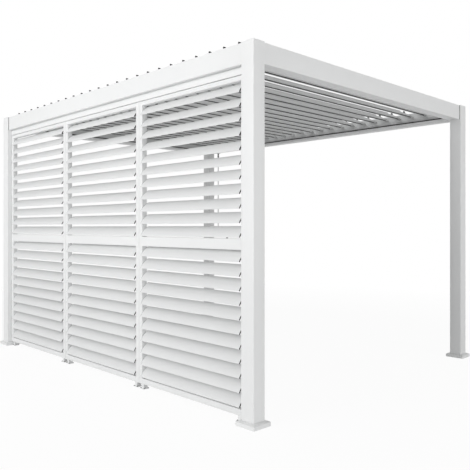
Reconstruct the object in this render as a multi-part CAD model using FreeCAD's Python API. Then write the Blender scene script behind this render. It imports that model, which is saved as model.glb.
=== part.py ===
import FreeCAD, Part
import math
import os

# Free-standing louvered pergola of white powder-coated aluminium, in millimetres.
# X runs along the long side, Y along the short side, Z up; the origin is on the ground at the middle.
# The front (-Y) side is closed by three slatted panels and the other three sides are open.
# The roof blades lie along Y and turn together on pivots in the front and back beams.

# Overall sizes
LENGTH = 3600.0
WIDTH = 3000.0
POST = 105.0
POST_WALL = 3.0
POST_CORNER = 4.0
CAP_THICK = 4.0
CAP_CHAMFER = 1.2
CAP_SPIGOT = 12.0
CAP_PLAY = 0.3

# Feet of the posts
PLATE_GAP = 2.5
PLATE_THICK = 8.0
ANCHOR_EDGE = 12.0
ANCHOR_RADIUS = 6.0
SKIRT_REACH = 27.0
SKIRT_EDGE = 26.0
SKIRT_TOP = 34.5
SKIRT_LEDGE = 6.0
SKIRT_WALL = 3.0
SKIRT_PLAY = 0.3
SKIRT_ROUND = 3.0

# Beams: a hollow box with a rain gutter on its inner side
BEAM_TOP = 2396.5
POST_BELOW_BEAM = 2.5
BEAM_DEPTH = 134.0
BEAM_SETBACK = 12.0
BEAM_BOX = 45.0
BEAM_WALL = 2.5
GUTTER_LIP = 30.0
LIP_BEAD = 5.0

# Roof blades, hung on pivots in the inner walls of the front and back beams
BLADES = 25
BLADE_TILT = 30.0
PIVOT_BELOW_TOP = 18.5
PIVOT_RADIUS = 4.0
PIVOT_PLAY = 0.1
PIVOT_REACH = 15.0
BLADE_END_GAP = 5.0
BLADE_SIDE_GAP = 6.5
BODY_HALF = 58.0
EDGE_HALF = 75.0
BLADE_UNDER = 11.0
TAPER_FROM = 20.0
NEAR_LOW = 1.5
BLADE_TOP_NEAR = 9.0
BLADE_TOP_MID = 12.0
BLADE_TOP_FAR = 11.0
BLADE_SKIN = 1.6
TROUGH_TOP = 6.5
LIP_TOP = 18.0
NOSE_LOW = 9.0
EDGE_STOP = 80.0
END_CAP = 3.0
POST_NOTCH_LONG = 48.0
POST_NOTCH_KEEP = 24.0

# Crank drive: a worm gearbox on the back beam's gutter lip, worked by a hanging crank
CRANK_FROM_POST = 212.0
CASE_LONG = 62.0
CASE_DEEP = 45.0
CASE_TALL = 54.0
CASE_ABOVE_FLOOR = 26.5
CASE_ROUND = 6.0
FLANGE_LONG = 92.0
FLANGE_THICK = 4.0
BOSS_RADIUS = 16.0
BOSS_TALL = 7.0
COVER_RADIUS = 16.0
COVER_THICK = 3.0
SLEEVE_RADIUS = 7.0
SLEEVE_BELOW_TOP = 11.0
SLEEVE_PLAY = 0.1
INPUT_RADIUS = 6.0
INPUT_PLAY = 0.1
INPUT_RISE = 18.0
INPUT_COLLAR_RADIUS = 11.0
INPUT_COLLAR_TALL = 8.0
INPUT_COLLAR_GAP = 0.5
EYE_BELOW_CASE = 28.0
EYE_RADIUS = 11.0
EYE_WIRE = 4.0
HOOK_BELOW_EYE = 12.5
HOOK_RADIUS = 9.0
HOOK_WIRE = 3.4
SOCKET_RADIUS = 10.0
SOCKET_TALL = 43.0
ROD_RADIUS = 7.0
ROD_BELOW_HOOK = 14.5
ROD_PLAY = 0.05
ROD_STRAIGHT = 969.0
ROD_BEND_RADIUS = 24.0
CRANK_OFFSET = 120.0
CRANK_DIRECTION = 47.0
CRANK_DROP = 40.0
SPINDLE_LONG = 24.0
GRIP_RADIUS = 13.5
GRIP_LENGTH = 122.0
GRIP_END_RADIUS = 11.5
GRIP_END_TALL = 6.0

# Side panels on the front
PANELS = 3
PANEL_GAP = 2.0
PANEL_FACE = 43.0
PANEL_DEPTH = 45.0
STILE = 40.0
PANEL_LOW = 37.5
PANEL_BELOW_TRACK = 5.5
TOP_RAIL = 30.5
MID_RAIL_LOW = 1094.0
MID_RAIL_TOP = 1166.0
BOTTOM_RAIL = 42.0
TONGUE_WIDE = 12.0
TONGUE_TALL = 9.5
SLATS_PER_BAY = 11
SLAT_TALL = 71.0
SLAT_DEEP = 75.5
SLAT_BEND = 38.0
SLAT_THICK = 6.0
SLAT_PROUD = 13.5
SLAT_ABOVE_BOTTOM = 13.5
SLAT_ABOVE_MIDDLE = 6.5
SLAT_BELOW_RAIL = 2.5
SLAT_PLAY = 0.3

# Track above the panels and feet below them
TRACK_NECK_TALL = 9.5
TRACK_TALL = 43.0
TRACK_SLOT_PLAY = 0.3
TRACK_SLOT_DEEP = 14.0
TRACK_NECK_INSET = 9.0
TRACK_PLAY = 0.3
FOOT_BASE_LONG = 50.0
FOOT_BASE_DEEP = 52.0
FOOT_BASE_THICK = 4.0
FOOT_NECK_LONG = 30.0
FOOT_FROM_END = 42.0
FOOT_NECK_DEEP = 38.0
FOOT_SKIRT_GAP = 3.0

# Places that follow from the sizes above
HALF_X = LENGTH / 2
HALF_Y = WIDTH / 2
POST_TOP = BEAM_TOP - POST_BELOW_BEAM
BEAM_LOW = BEAM_TOP - BEAM_DEPTH
PIVOT_HEIGHT = BEAM_TOP - PIVOT_BELOW_TOP
INNER_X = HALF_X - POST
INNER_Y = HALF_Y - POST
SKIRT_SIZE = POST + 2 * SKIRT_REACH
PLATE_SIZE = SKIRT_SIZE - 2 * SKIRT_WALL - 2 * PLATE_GAP
ANCHOR_SPACING = PLATE_SIZE - 2 * ANCHOR_EDGE
WEB_X = HALF_X - BEAM_SETBACK - BEAM_BOX
WEB_Y = HALF_Y - BEAM_SETBACK - BEAM_BOX
LAST_PIVOT = WEB_X - BLADE_SIDE_GAP - EDGE_HALF
PITCH = 2 * LAST_PIVOT / (BLADES - 1)
BLADE_END = WEB_Y - BLADE_END_GAP
CRANK_X = -INNER_X + CRANK_FROM_POST
CRANK_Y = INNER_Y - CASE_DEEP / 2
CASE_TOP = BEAM_LOW + CASE_ABOVE_FLOOR
CASE_LOW = CASE_TOP - CASE_TALL
SLEEVE_HEIGHT = CASE_TOP - SLEEVE_BELOW_TOP
EYE_CENTRE = CASE_LOW - EYE_BELOW_CASE
HOOK_CENTRE = EYE_CENTRE - HOOK_BELOW_EYE
ROD_TOP = HOOK_CENTRE - ROD_BELOW_HOOK
ROD_BEND = ROD_TOP - ROD_STRAIGHT
SPINDLE_LOW = ROD_BEND - CRANK_DROP - SPINDLE_LONG
TRACK_LOW = BEAM_LOW - TRACK_NECK_TALL - TRACK_TALL
PANEL_TOP = TRACK_LOW - PANEL_BELOW_TRACK
SLAT_HALF_BEND = math.radians(SLAT_BEND / 2)
SLAT_LEAN = math.atan2(SLAT_TALL, SLAT_DEEP)
SLAT_STEEP = SLAT_LEAN + SLAT_HALF_BEND
SLAT_FLAT = SLAT_LEAN - SLAT_HALF_BEND
SLAT_RADIUS = math.hypot(SLAT_TALL, SLAT_DEEP) / (2 * math.sin(SLAT_HALF_BEND))
SLAT_CENTRE_Y = SLAT_RADIUS * math.sin(SLAT_STEEP)
SLAT_CENTRE_Z = -SLAT_RADIUS * math.cos(SLAT_STEEP)
SLAT_EDGE_DROP = SLAT_THICK / 2 * math.cos(SLAT_STEEP)
SLAT_HEIGHT = SLAT_TALL + SLAT_EDGE_DROP + SLAT_THICK / 2 * math.cos(SLAT_FLAT)
POSTS = {
    "front_right": (1, -1),
    "front_left": (-1, -1),
    "back_right": (1, 1),
    "back_left": (-1, 1),
}
UP = FreeCAD.Vector(0, 0, 1)
ALONG_X = FreeCAD.Vector(1, 0, 0)
ALONG_Y = FreeCAD.Vector(0, 1, 0)
ORIGIN = FreeCAD.Vector(0, 0, 0)


def vec(x, y, z):
    return FreeCAD.Vector(x, y, z)


def box(x0, x1, y0, y1, z0, z1):
    """Block between two corners."""
    return Part.makeBox(x1 - x0, y1 - y0, z1 - z0, vec(x0, y0, z0))


def rod(radius, start, end):
    """Round bar from one point to another."""
    along = end - start
    return Part.makeCylinder(radius, along.Length, start, along)


def polygon(points):
    return Part.makePolygon(points + [points[0]])


def moved(shape, x, y, z):
    copy = shape.copy()
    copy.translate(vec(x, y, z))
    return copy


def square(half, z):
    return polygon([vec(-half, -half, z), vec(half, -half, z), vec(half, half, z), vec(-half, half, z)])


def save(name, shapes):
    """Write one node; like pieces on one body are separate solids in it."""
    solids = []
    for shape in shapes:
        solids.extend(shape.Solids)
    shape = solids[0] if len(solids) == 1 else Part.makeCompound(solids)
    for solid in solids:
        if not solid.isValid():
            raise ValueError("solid of " + name + " is not valid")
    shape.exportStep("parts/" + name + ".step")


def post_place(corner):
    """Centre of a post from its corner signs."""
    sx, sy = corner
    return sx * (HALF_X - POST / 2), sy * (HALF_Y - POST / 2)


def post():
    """Square tube with rounded corners, standing on its foot plate."""
    tall = POST_TOP - PLATE_THICK
    outer = box(-POST / 2, POST / 2, -POST / 2, POST / 2, PLATE_THICK, POST_TOP)
    upright = [e for e in outer.Edges if abs(e.tangentAt(0).z) > 0.9 and e.Length > tall / 2]
    outer = outer.makeFillet(POST_CORNER, upright)
    half = POST / 2 - POST_WALL
    return outer.cut(box(-half, half, -half, half, PLATE_THICK, POST_TOP))


def post_cap():
    """Flat cap with a chamfered rim and a spigot that plugs into the tube."""
    half = POST / 2
    cap = box(-half, half, -half, half, POST_TOP, POST_TOP + CAP_THICK)
    rim = [e for e in cap.Edges if e.CenterOfMass.z > POST_TOP + CAP_THICK - 0.1]
    cap = cap.makeChamfer(CAP_CHAMFER, rim)
    plug = POST / 2 - POST_WALL - CAP_PLAY
    return cap.fuse(box(-plug, plug, -plug, plug, POST_TOP - CAP_SPIGOT, POST_TOP)).removeSplitter()


def foot_plate():
    """Plate under the post with four anchor holes outside the tube."""
    half = PLATE_SIZE / 2
    plate = box(-half, half, -half, half, 0, PLATE_THICK)
    reach = ANCHOR_SPACING / 2
    for sx in (-1, 1):
        for sy in (-1, 1):
            plate = plate.cut(Part.makeCylinder(ANCHOR_RADIUS, PLATE_THICK, vec(sx * reach, sy * reach, 0)))
    return plate


def skirt():
    """Cover round the foot of the post: upright rim, then a bevel up to the tube."""
    half = SKIRT_SIZE / 2
    rim = box(-half, half, -half, half, 0, SKIRT_EDGE)
    upright = [e for e in rim.Edges if abs(e.tangentAt(0).z) > 0.9]
    rim = rim.makeFillet(SKIRT_ROUND, upright)
    foot = square(half - SKIRT_WALL, SKIRT_EDGE)
    bevel = Part.makeLoft([foot, square(POST / 2 + SKIRT_LEDGE, SKIRT_TOP)], True)
    cover = rim.fuse(bevel)
    hollow = half - SKIRT_WALL
    cover = cover.cut(box(-hollow, hollow, -hollow, hollow, 0, SKIRT_EDGE - SKIRT_WALL))
    hole = POST / 2 + SKIRT_PLAY
    return cover.cut(box(-hole, hole, -hole, hole, 0, SKIRT_TOP)).removeSplitter()


def beam(length):
    """Beam along X with its outer face at y = 0 and its gutter towards +y."""
    wide = POST - BEAM_SETBACK
    floor = BEAM_LOW + BEAM_WALL
    lip = BEAM_LOW + GUTTER_LIP
    outline = [
        (0, BEAM_LOW), (wide, BEAM_LOW), (wide, lip), (wide - LIP_BEAD, lip),
        (wide - LIP_BEAD, lip - BEAM_WALL), (wide - BEAM_WALL, lip - BEAM_WALL),
        (wide - BEAM_WALL, floor), (BEAM_BOX, floor), (BEAM_BOX, BEAM_TOP), (0, BEAM_TOP),
    ]
    solid = Part.Face(polygon([vec(-length / 2, y, z) for y, z in outline])).extrude(vec(length, 0, 0))
    hollow = box(-length / 2, length / 2, BEAM_WALL, BEAM_BOX - BEAM_WALL, floor, BEAM_TOP - BEAM_WALL)
    return solid.cut(hollow)


def pivot_beam():
    """Front beam with a row of pivot holes through its inner wall."""
    holes = []
    for number in range(1, BLADES + 1):
        x = blade_x(number)
        start = vec(x, -WEB_Y + 1, PIVOT_HEIGHT)
        holes.append(rod(PIVOT_RADIUS + PIVOT_PLAY, start, vec(x, -WEB_Y - BEAM_WALL - 1, PIVOT_HEIGHT)))
    return moved(beam(2 * INNER_X), 0, -HALF_Y + BEAM_SETBACK, 0).cut(Part.makeCompound(holes))


def back_beam():
    """The front beam turned round, with holes in its lip and inner wall for the gearbox's sleeve."""
    solid = pivot_beam()
    solid.rotate(ORIGIN, UP, 180)
    start = vec(CRANK_X, INNER_Y - 1, SLEEVE_HEIGHT)
    end = vec(CRANK_X, WEB_Y + BEAM_WALL + 1, SLEEVE_HEIGHT)
    return solid.cut(rod(SLEEVE_RADIUS + SLEEVE_PLAY, start, end))


def side_beam(sign):
    solid = moved(beam(2 * INNER_Y), 0, -HALF_X + BEAM_SETBACK, 0)
    solid.rotate(ORIGIN, UP, 90 * sign)
    return solid


def blade_x(number):
    """Pivot of a blade; the first blade is at the +X end."""
    return LAST_PIVOT - PITCH * (number - 1)


def body_outline(inset, y):
    """Closed blade body: crowned top, underside tapered up to the thin low edge on +x."""
    half = BODY_HALF - inset
    under = -BLADE_UNDER + inset
    near = BLADE_TOP_NEAR - inset
    far = BLADE_TOP_FAR - inset
    crown = Part.Arc(vec(half, y, near), vec(0, y, BLADE_TOP_MID - inset), vec(-half, y, far)).toShape()
    slope = (NEAR_LOW + BLADE_UNDER) / (BODY_HALF - TAPER_FROM)
    lift = inset * math.hypot(1, slope)
    taper = TAPER_FROM - (lift - inset) / slope
    near_low = NEAR_LOW + lift - inset * slope
    corners = [
        vec(-half, y, far), vec(-half, y, under), vec(taper, y, under),
        vec(half, y, near_low), vec(half, y, near),
    ]
    sides = Part.makePolygon(corners)
    return Part.Wire([crown] + sides.Edges)


def post_notches(side, grow):
    """Corners of the first and last blade that are left out to clear the posts."""
    keep = POST_NOTCH_KEEP - grow
    start = BLADE_END - POST_NOTCH_LONG - grow
    corners = []
    for sy in (-1, 1):
        y0, y1 = sorted((sy * start, sy * (BLADE_END + 1)))
        x0, x1 = sorted((side * keep, side * 2 * EDGE_HALF))
        corners.append(box(x0, x1, y0, y1, -EDGE_HALF, EDGE_HALF))
    return Part.makeCompound(corners)


def blade_body(side):
    """Hollow blade with a web down its middle and closed ends; side picks the blade beside the posts."""
    long = 2 * BLADE_END
    body = Part.Face(body_outline(0, -BLADE_END)).extrude(vec(0, long, 0))
    hollow = Part.Face(body_outline(BLADE_SKIN, -BLADE_END + END_CAP)).extrude(vec(0, long - 2 * END_CAP, 0))
    hollow = hollow.cut(box(-BLADE_SKIN / 2, BLADE_SKIN / 2, -BLADE_END, BLADE_END, -EDGE_HALF, EDGE_HALF))
    if side:
        body = body.cut(post_notches(side, 0))
        hollow = hollow.cut(post_notches(side, BLADE_SKIN))
    return body.cut(hollow)


def blade_edges():
    """Rain trough on the low edge and overlapping lip with a drip nose on the high edge."""
    stop = BLADE_END - EDGE_STOP
    skin = BLADE_SKIN
    trough = [
        (BODY_HALF, NEAR_LOW), (EDGE_HALF, NEAR_LOW), (EDGE_HALF, TROUGH_TOP),
        (EDGE_HALF - skin, TROUGH_TOP), (EDGE_HALF - skin, NEAR_LOW + skin),
        (BODY_HALF, NEAR_LOW + skin),
    ]
    lip = [
        (-BODY_HALF, BLADE_TOP_FAR - skin), (-BODY_HALF, BLADE_TOP_FAR), (-BODY_HALF - 2 * skin, LIP_TOP),
        (-EDGE_HALF, LIP_TOP), (-EDGE_HALF, NOSE_LOW), (-EDGE_HALF + skin, NOSE_LOW),
        (-EDGE_HALF + skin, LIP_TOP - skin), (-BODY_HALF - 2 * skin, LIP_TOP - skin),
    ]
    shapes = []
    for outline in (trough, lip):
        face = Part.Face(polygon([vec(x, -stop, z) for x, z in outline]))
        shapes.append(face.extrude(vec(0, 2 * stop, 0)))
    return shapes


def make_blade(side):
    """One roof blade in its closed position with its pivot axis on Y through the origin."""
    end = WEB_Y + PIVOT_REACH
    pivots = [
        rod(PIVOT_RADIUS, vec(0, -end, 0), vec(0, -BLADE_END, 0)),
        rod(PIVOT_RADIUS, vec(0, BLADE_END, 0), vec(0, end, 0)),
    ]
    return blade_body(side).multiFuse(blade_edges() + pivots).removeSplitter()


def placed_blade(blade, number):
    copy = blade.copy()
    copy.rotate(ORIGIN, ALONG_Y, BLADE_TILT)
    copy.translate(vec(blade_x(number), 0, PIVOT_HEIGHT))
    return copy


def gearbox():
    """Worm gear case on the gutter lip, with its flange, wheel cover, output sleeve and crank boss."""
    half = CASE_LONG / 2
    front = INNER_Y - CASE_DEEP
    case = box(CRANK_X - half, CRANK_X + half, front, INNER_Y, CASE_LOW + BOSS_TALL, CASE_TOP)
    upright = [e for e in case.Edges if abs(e.tangentAt(0).z) > 0.9 and e.CenterOfMass.y < INNER_Y - 1]
    case = case.makeFillet(CASE_ROUND, upright)
    ear = FLANGE_LONG / 2
    flange = box(CRANK_X - ear, CRANK_X + ear, INNER_Y - FLANGE_THICK, INNER_Y, BEAM_LOW, CASE_TOP)
    boss = rod(BOSS_RADIUS, vec(CRANK_X, CRANK_Y, CASE_LOW), vec(CRANK_X, CRANK_Y, CASE_LOW + BOSS_TALL))
    cover_start = vec(CRANK_X, front - COVER_THICK, SLEEVE_HEIGHT)
    cover = rod(COVER_RADIUS, cover_start, vec(CRANK_X, INNER_Y, SLEEVE_HEIGHT))
    end = WEB_Y + BEAM_WALL
    sleeve = rod(SLEEVE_RADIUS, vec(CRANK_X, INNER_Y, SLEEVE_HEIGHT), vec(CRANK_X, end, SLEEVE_HEIGHT))
    bore_end = vec(CRANK_X, CRANK_Y, CASE_LOW + INPUT_RISE + 1)
    bore = rod(INPUT_RADIUS + INPUT_PLAY, vec(CRANK_X, CRANK_Y, CASE_LOW - 1), bore_end)
    return case.multiFuse([flange, boss, cover, sleeve]).cut(bore).removeSplitter()


def eye_ring(radius, wire, centre, axis):
    """Flat-sided ring round a hole, as deep as its wire."""
    start = centre - axis * wire
    ring = Part.makeCylinder(radius + wire, 2 * wire, start, axis)
    return ring.cut(Part.makeCylinder(radius - wire, 2 * wire, start, axis))


def crank_hook():
    """Input shaft with its eye, and the crank's ring hooked through it with the rod's socket."""
    x = CRANK_X
    y = CRANK_Y
    shaft = rod(INPUT_RADIUS, vec(x, y, EYE_CENTRE + EYE_RADIUS), vec(x, y, CASE_LOW + INPUT_RISE))
    collar_top = CASE_LOW - INPUT_COLLAR_GAP
    collar = rod(INPUT_COLLAR_RADIUS, vec(x, y, collar_top - INPUT_COLLAR_TALL), vec(x, y, collar_top))
    eye = eye_ring(EYE_RADIUS, EYE_WIRE, vec(x, y, EYE_CENTRE), ALONG_Y)
    ring = eye_ring(HOOK_RADIUS, HOOK_WIRE, vec(x, y, HOOK_CENTRE), ALONG_X)
    socket = rod(SOCKET_RADIUS, vec(x, y, ROD_TOP - SOCKET_TALL), vec(x, y, HOOK_CENTRE - HOOK_RADIUS))
    bore = rod(ROD_RADIUS + ROD_PLAY, vec(x, y, ROD_TOP - SOCKET_TALL - 1), vec(x, y, ROD_TOP + ROD_PLAY))
    return [shaft.multiFuse([collar, eye]), ring.fuse(socket).cut(bore)]


def throw_place():
    """Axis of the crank's grip."""
    angle = math.radians(CRANK_DIRECTION)
    return CRANK_X + CRANK_OFFSET * math.cos(angle), CRANK_Y + CRANK_OFFSET * math.sin(angle)


def bent_bar(points, radius, bend):
    """Round bar along a bent line, with each corner rounded to the bend radius."""
    edges = []
    start = points[0]
    for before, corner, after in zip(points, points[1:], points[2:]):
        come = (corner - before).normalize()
        leave = (after - corner).normalize()
        half_turn = come.getAngle(leave) / 2
        reach = bend * math.tan(half_turn)
        middle = corner + (leave - come).normalize() * bend * (1 / math.cos(half_turn) - 1)
        edges.append(Part.makeLine(start, corner - come * reach))
        edges.append(Part.Arc(corner - come * reach, middle, corner + leave * reach).toShape())
        start = corner + leave * reach
    edges.append(Part.makeLine(start, points[-1]))
    section = Part.Wire(Part.makeCircle(radius, points[0], points[1] - points[0]))
    return Part.Wire(edges).makePipeShell([section], True, True)


def crank_rod():
    """Bar that hangs down, bends out to the crank's throw and ends in the grip's spindle."""
    out_x, out_y = throw_place()
    points = [
        vec(CRANK_X, CRANK_Y, ROD_TOP), vec(CRANK_X, CRANK_Y, ROD_BEND),
        vec(out_x, out_y, ROD_BEND - CRANK_DROP), vec(out_x, out_y, SPINDLE_LOW),
    ]
    return bent_bar(points, ROD_RADIUS, ROD_BEND_RADIUS)


def crank_grip():
    """Moulded handle with a narrower shoulder at each end."""
    low = SPINDLE_LOW - GRIP_LENGTH
    x, y = throw_place()
    core = rod(GRIP_END_RADIUS, vec(x, y, low), vec(x, y, SPINDLE_LOW))
    hold = rod(GRIP_RADIUS, vec(x, y, low + GRIP_END_TALL), vec(x, y, SPINDLE_LOW - GRIP_END_TALL))
    return core.fuse(hold)


PANEL_LONG = (2 * INNER_X - (PANELS + 1) * PANEL_GAP) / PANELS
BAYS = (
    (PANEL_LOW + BOTTOM_RAIL, MID_RAIL_LOW, SLAT_ABOVE_BOTTOM),
    (MID_RAIL_TOP, PANEL_TOP - TOP_RAIL, SLAT_ABOVE_MIDDLE),
)


def panel_x(number):
    """Middle of a panel; the first panel is at the -X end."""
    return -INNER_X + PANEL_GAP + PANEL_LONG / 2 + (number - 1) * (PANEL_LONG + PANEL_GAP)


def panel_frame():
    """Frame of one panel round x = 0: stiles, three rails and the tongue that slides into the track."""
    front = -HALF_Y + PANEL_FACE
    half = PANEL_LONG / 2
    frame = box(-half, half, front, front + PANEL_DEPTH, PANEL_LOW, PANEL_TOP)
    for low, top, gap in BAYS:
        frame = frame.cut(box(-half + STILE, half - STILE, front - 1, front + PANEL_DEPTH + 1, low, top))
    middle = front + PANEL_DEPTH / 2
    wide = TONGUE_WIDE / 2
    tongue = box(-half, half, middle - wide, middle + wide, PANEL_TOP, PANEL_TOP + TONGUE_TALL)
    return frame.fuse(tongue).removeSplitter()


def slat():
    """Curved slat of even thickness: steep at its front lower edge and nearly flat at its back upper edge."""
    half = PANEL_LONG / 2 - STILE - SLAT_PLAY

    def on_arc(r, angle):
        return vec(-half, SLAT_CENTRE_Y - r * math.sin(angle), SLAT_CENTRE_Z + r * math.cos(angle))

    middle = (SLAT_STEEP + SLAT_FLAT) / 2
    outer = SLAT_RADIUS + SLAT_THICK / 2
    inner = SLAT_RADIUS - SLAT_THICK / 2
    outside = Part.Arc(on_arc(outer, SLAT_STEEP), on_arc(outer, middle), on_arc(outer, SLAT_FLAT)).toShape()
    inside = Part.Arc(on_arc(inner, SLAT_FLAT), on_arc(inner, middle), on_arc(inner, SLAT_STEEP)).toShape()
    back = Part.makeLine(on_arc(outer, SLAT_FLAT), on_arc(inner, SLAT_FLAT))
    front = Part.makeLine(on_arc(inner, SLAT_STEEP), on_arc(outer, SLAT_STEEP))
    return Part.Face(Part.Wire([outside, back, inside, front])).extrude(vec(2 * half, 0, 0))


def panel_slats():
    """Both bays' slats, with their front edges standing out in front of the frame."""
    one = slat()
    slats = []
    for low, top, gap in BAYS:
        pitch = (top - low - gap - SLAT_BELOW_RAIL - SLAT_HEIGHT) / (SLATS_PER_BAY - 1)
        for number in range(SLATS_PER_BAY):
            z = low + gap + SLAT_EDGE_DROP + number * pitch
            slats.append(moved(one, 0, -HALF_Y + PANEL_FACE - SLAT_PROUD, z))
    return slats


def header_track():
    """Rail under the front beam with a slot below that holds the panels' tongues."""
    front = -HALF_Y + PANEL_FACE
    back = front + PANEL_DEPTH
    half = INNER_X - TRACK_PLAY
    middle = (front + back) / 2
    top = TRACK_LOW + TRACK_TALL
    track = box(-half, half, front, back, TRACK_LOW, top)
    neck = box(-half, half, front + TRACK_NECK_INSET, back - TRACK_NECK_INSET, top, BEAM_LOW)
    slot = TONGUE_WIDE / 2 + TRACK_SLOT_PLAY
    groove = box(-half, half, middle - slot, middle + slot, TRACK_LOW, TRACK_LOW + TRACK_SLOT_DEEP)
    return track.fuse(neck).cut(groove).removeSplitter()


def panel_foot(x):
    """Base flange on the ground and a short neck up to the panel's frame."""
    middle = -HALF_Y + PANEL_FACE + PANEL_DEPTH / 2
    long = FOOT_BASE_LONG / 2
    deep = FOOT_BASE_DEEP / 2
    base = box(x - long, x + long, middle - deep, middle + deep, 0, FOOT_BASE_THICK)
    long = FOOT_NECK_LONG / 2
    deep = FOOT_NECK_DEEP / 2
    stem = box(x - long, x + long, middle - deep, middle + deep, FOOT_BASE_THICK, PANEL_LOW)
    return base.fuse(stem).removeSplitter()


def panel_feet():
    """One foot near each end of a panel; those beside a post stand just clear of its skirt."""
    feet = []
    skirt_edge = HALF_X - POST / 2 - SKIRT_SIZE / 2
    outer = skirt_edge - FOOT_SKIRT_GAP - FOOT_BASE_LONG / 2
    for number in range(1, PANELS + 1):
        for side in (-1, 1):
            x = panel_x(number) + side * (PANEL_LONG / 2 - FOOT_FROM_END)
            feet.append(panel_foot(max(-outer, min(outer, x))))
    return feet


os.makedirs("parts", exist_ok=True)

caps = []
plates = []
skirts = []
for name, corner in POSTS.items():
    x, y = post_place(corner)
    save("post_" + name, [moved(post(), x, y, 0)])
    caps.append(moved(post_cap(), x, y, 0))
    plates.append(moved(foot_plate(), x, y, 0))
    skirts.append(moved(skirt(), x, y, 0))
save("post_caps", caps)
save("foot_plates", plates)
save("base_skirts", skirts)

save("beam_front", [pivot_beam()])
save("beam_back", [back_beam()])
save("beam_right", [side_beam(1)])
save("beam_left", [side_beam(-1)])

middle_blade = make_blade(0)
for number in range(1, BLADES + 1):
    blade = middle_blade
    if number in (1, BLADES):
        blade = make_blade(1 if number == 1 else -1)
    save("louver_%02d" % number, [placed_blade(blade, number)])

save("crank_gearbox", [gearbox()])
save("crank_hook", crank_hook())
save("crank_rod", [crank_rod()])
save("crank_grip", [crank_grip()])

save("header_track", [header_track()])
for number in range(1, PANELS + 1):
    save("panel_%d_frame" % number, [moved(panel_frame(), panel_x(number), 0, 0)])
    save("panel_%d_slats" % number, [moved(s, panel_x(number), 0, 0) for s in panel_slats()])
save("panel_feet", panel_feet())
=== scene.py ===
import math

import bmesh
import bpy
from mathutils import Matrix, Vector


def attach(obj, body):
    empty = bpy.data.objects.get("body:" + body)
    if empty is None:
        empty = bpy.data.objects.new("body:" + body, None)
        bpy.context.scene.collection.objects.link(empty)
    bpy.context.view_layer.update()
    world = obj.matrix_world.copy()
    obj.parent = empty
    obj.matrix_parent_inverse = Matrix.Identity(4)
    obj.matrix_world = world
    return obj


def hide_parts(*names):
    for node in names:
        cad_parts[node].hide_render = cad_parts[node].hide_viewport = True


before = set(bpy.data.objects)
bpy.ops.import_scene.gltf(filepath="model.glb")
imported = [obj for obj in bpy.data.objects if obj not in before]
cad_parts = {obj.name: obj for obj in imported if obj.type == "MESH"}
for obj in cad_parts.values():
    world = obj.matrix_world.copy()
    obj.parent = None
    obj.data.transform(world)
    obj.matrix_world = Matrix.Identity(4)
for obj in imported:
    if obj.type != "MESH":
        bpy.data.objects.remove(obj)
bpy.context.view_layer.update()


# Posts: four square aluminium tubes with softly rounded corners, powder-coated white.
# Each is cut from one extrusion and stands on a plate that its base skirt hides.
HALF_X = 1.8
HALF_Y = 1.5
POST_SIDE = 0.105
POST_WALL = 0.003
POST_ROUND = 0.004
POST_FOOT = 0.008
POST_TOP = 2.394
POST_X = HALF_X - POST_SIDE / 2
POST_Y = HALF_Y - POST_SIDE / 2
POSTS = {
    "front_right": (POST_X, -POST_Y),
    "front_left": (-POST_X, -POST_Y),
    "back_right": (POST_X, POST_Y),
    "back_left": (-POST_X, POST_Y),
}


def rounded(points, radii, steps=5):
    """Outline with its corners rounded; radii is one radius or one for each corner."""
    nearly_straight = math.radians(89)
    edge_share = 0.49
    if not isinstance(radii, (list, tuple)):
        radii = [radii] * len(points)
    outline = []
    for i, (corner, radius) in enumerate(zip(points, radii)):
        p = Vector(corner)
        back = Vector(points[i - 1]) - p
        ahead = Vector(points[(i + 1) % len(points)]) - p
        half = back.angle(ahead) / 2
        if radius <= 0 or half > nearly_straight:
            outline.append(tuple(p))
            continue
        reach = min(radius / math.tan(half), edge_share * back.length, edge_share * ahead.length)
        start = p + back.normalized() * reach
        end = p + ahead.normalized() * reach
        centre = p + (back.normalized() + ahead.normalized()).normalized() * (reach / math.cos(half))
        reach = (start - centre).length
        for step in range(steps + 1):
            toward = (start - centre).normalized().slerp((end - centre).normalized(), step / steps)
            outline.append(tuple(centre + toward * reach))
    return outline


def block(x0, x1, z0, z1):
    """Corners of a rectangle."""
    return [(x0, z0), (x1, z0), (x1, z1), (x0, z1)]


def flat_section(loops):
    """Face of an extrusion in the XZ plane, facing +Y: first its outside, then its hollows."""
    work = bmesh.new()
    for loop in loops:
        corners = [work.verts.new((x, 0, z)) for x, z in loop]
        for a, b in zip(corners, corners[1:] + corners[:1]):
            work.edges.new((a, b))
    bmesh.ops.triangle_fill(work, use_beauty=True, edges=work.edges[:])
    for face in work.faces:
        face.normal_update()
        if face.normal.y < 0:
            face.normal_flip()
    mesh = bpy.data.meshes.new("section")
    work.to_mesh(mesh)
    work.free()
    return mesh


def node_tree(name, inputs):
    """Empty geometry tree with named inputs; returns it with its input and output nodes."""
    tree = bpy.data.node_groups.new(name, "GeometryNodeTree")
    tree.interface.new_socket("Geometry", in_out="INPUT", socket_type="NodeSocketGeometry")
    for label, kind in inputs:
        tree.interface.new_socket(label, in_out="INPUT", socket_type="NodeSocket" + kind)
    tree.interface.new_socket("Geometry", in_out="OUTPUT", socket_type="NodeSocketGeometry")
    return tree, tree.nodes.new("NodeGroupInput"), tree.nodes.new("NodeGroupOutput")


def add(tree, kind, **sockets):
    """Node with its sockets linked to other nodes' outputs or set to values."""
    node = tree.nodes.new(kind)
    for label, value in sockets.items():
        socket = node.inputs[label.replace("_", " ")]
        if isinstance(value, bpy.types.NodeSocket):
            tree.links.new(value, socket)
        else:
            socket.default_value = value
    return node


WELD = 0.00001
ROW_INPUTS = [
    ("Turn", "Vector"), ("First", "Vector"), ("Step", "Vector"), ("Count", "Int"), ("Material", "Material"),
]


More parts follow.
